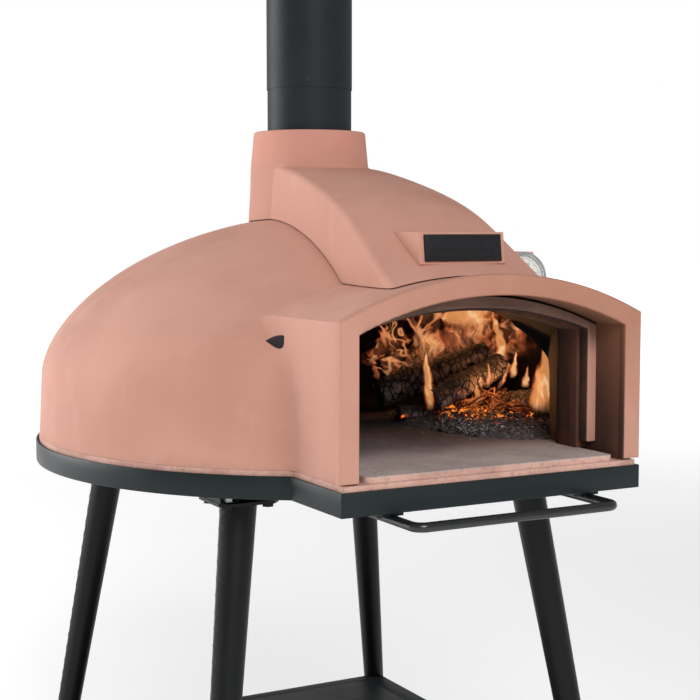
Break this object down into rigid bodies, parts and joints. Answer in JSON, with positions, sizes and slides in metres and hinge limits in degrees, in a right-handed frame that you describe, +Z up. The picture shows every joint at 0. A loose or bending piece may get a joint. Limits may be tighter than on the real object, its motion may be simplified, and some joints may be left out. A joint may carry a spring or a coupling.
{
  "type": "wood fired pizza oven",
  "caption": "Domed wood burning oven with an arched mouth, a duct hood to a round flue pipe, a dial thermometer and a splayed tube stand with a shelf and a front rail.",
  "frame": {"origin": "on the floor, under the middle of the whole oven's bounding box", "axes": "+Z up; the mouth faces -Y; +X is to the right of a person facing the mouth"},
  "size_m": [0.978, 1.1213, 1.899],
  "materials": {
    "black_steel": "satin powder coat",
    "black_steel_plain": "satin powder coat",
    "fastener_black": "black oxide",
    "zinc_steel": "zinc plated",
    "foot_rubber": "matt",
    "insulation": "fibrous",
    "floor_refractory": "matt, ash stained",
    "terracotta_shell": "matt",
    "terracotta_frame": "matt, faintly smoked",
    "terracotta_inner": "matt, smoked",
    "refractory_soot": "matt, sooted",
    "terracotta_hood": "matt",
    "seal_dark": "matt",
    "flue_black": "satin stove enamel",
    "nameplate_black": "satin",
    "thermometer_steel": "brushed",
    "thermometer_chrome": "polished",
    "dial_white": "matt",
    "dial_glass": "clear",
    "needle_red": "matt black",
    "charred_wood": "charred",
    "ember_ash": "ash"
  },
  "bodies": {
    "oven": {"tray_pan": "black_steel", "shelf": "black_steel", "rail": "black_steel", "leg_front_left": "black_steel", "leg_front_right": "black_steel", "leg_rear_left": "black_steel", "leg_rear_right": "black_steel", "bearer_left_inner": "black_steel_plain", "bearer_left_outer": "black_steel_plain", "bearer_right_inner": "black_steel_plain", "bearer_right_outer": "black_steel_plain", "leg_plate_front_left": "black_steel_plain", "leg_plate_front_right": "black_steel_plain", "leg_plate_rear_left": "black_steel_plain", "leg_plate_rear_right": "black_steel_plain", "shelf_tab_front_left": "black_steel_plain", "shelf_tab_front_right": "black_steel_plain", "shelf_tab_rear_left": "black_steel_plain", "shelf_tab_rear_right": "black_steel_plain", "rail_plate_left": "black_steel_plain", "rail_plate_right": "black_steel_plain", "leg_bolts": "fastener_black", "shelf_screws": "fastener_black", "rail_screws": "fastener_black", "bearer_nuts": "zinc_steel", "thermometer_probe": "zinc_steel", "thermometer_ferrule": "zinc_steel", "foot_front_left": "foot_rubber", "foot_front_right": "foot_rubber", "foot_rear_left": "foot_rubber", "foot_rear_right": "foot_rubber", "insulation_board": "insulation", "insulation_blanket": "insulation", "flue_gasket": "insulation", "floor_slab": "floor_refractory", "outer_shell": "terracotta_shell", "front_arch": "terracotta_frame", "door_arch": "terracotta_inner", "throat_arch": "terracotta_inner", "inner_dome_left": "refractory_soot", "inner_dome_right": "refractory_soot", "flue_hood": "terracotta_hood", "hood_seal": "seal_dark", "nameplate": "nameplate_black", "thermometer_case": "thermometer_steel", "thermometer_bezel": "thermometer_chrome", "thermometer_dial": "dial_white", "thermometer_glass": "dial_glass", "log_left": "charred_wood", "log_front": "charred_wood", "log_back": "charred_wood", "log_small": "charred_wood", "log_right": "charred_wood", "ember_bed": "ember_ash"},
    "flue": {"flue_stub": "flue_black", "flue_pipe": "flue_black", "pipe_rivets": "fastener_black"},
    "needle": {"thermometer_needle": "needle_red"}
  },
  "joints": [
    {"name": "flue_lift", "type": "slide", "parent": "oven", "child": "flue", "axis": [0, 0, 1], "range_m": [0, 0.12]},
    {"name": "thermometer_needle_turn", "type": "hinge", "parent": "oven", "child": "needle", "pos_m": [0.22, -0.24899, 1.08133], "axis": [0, -0.9659, 0.2588], "range_deg": [-135, 135]}
  ]
}
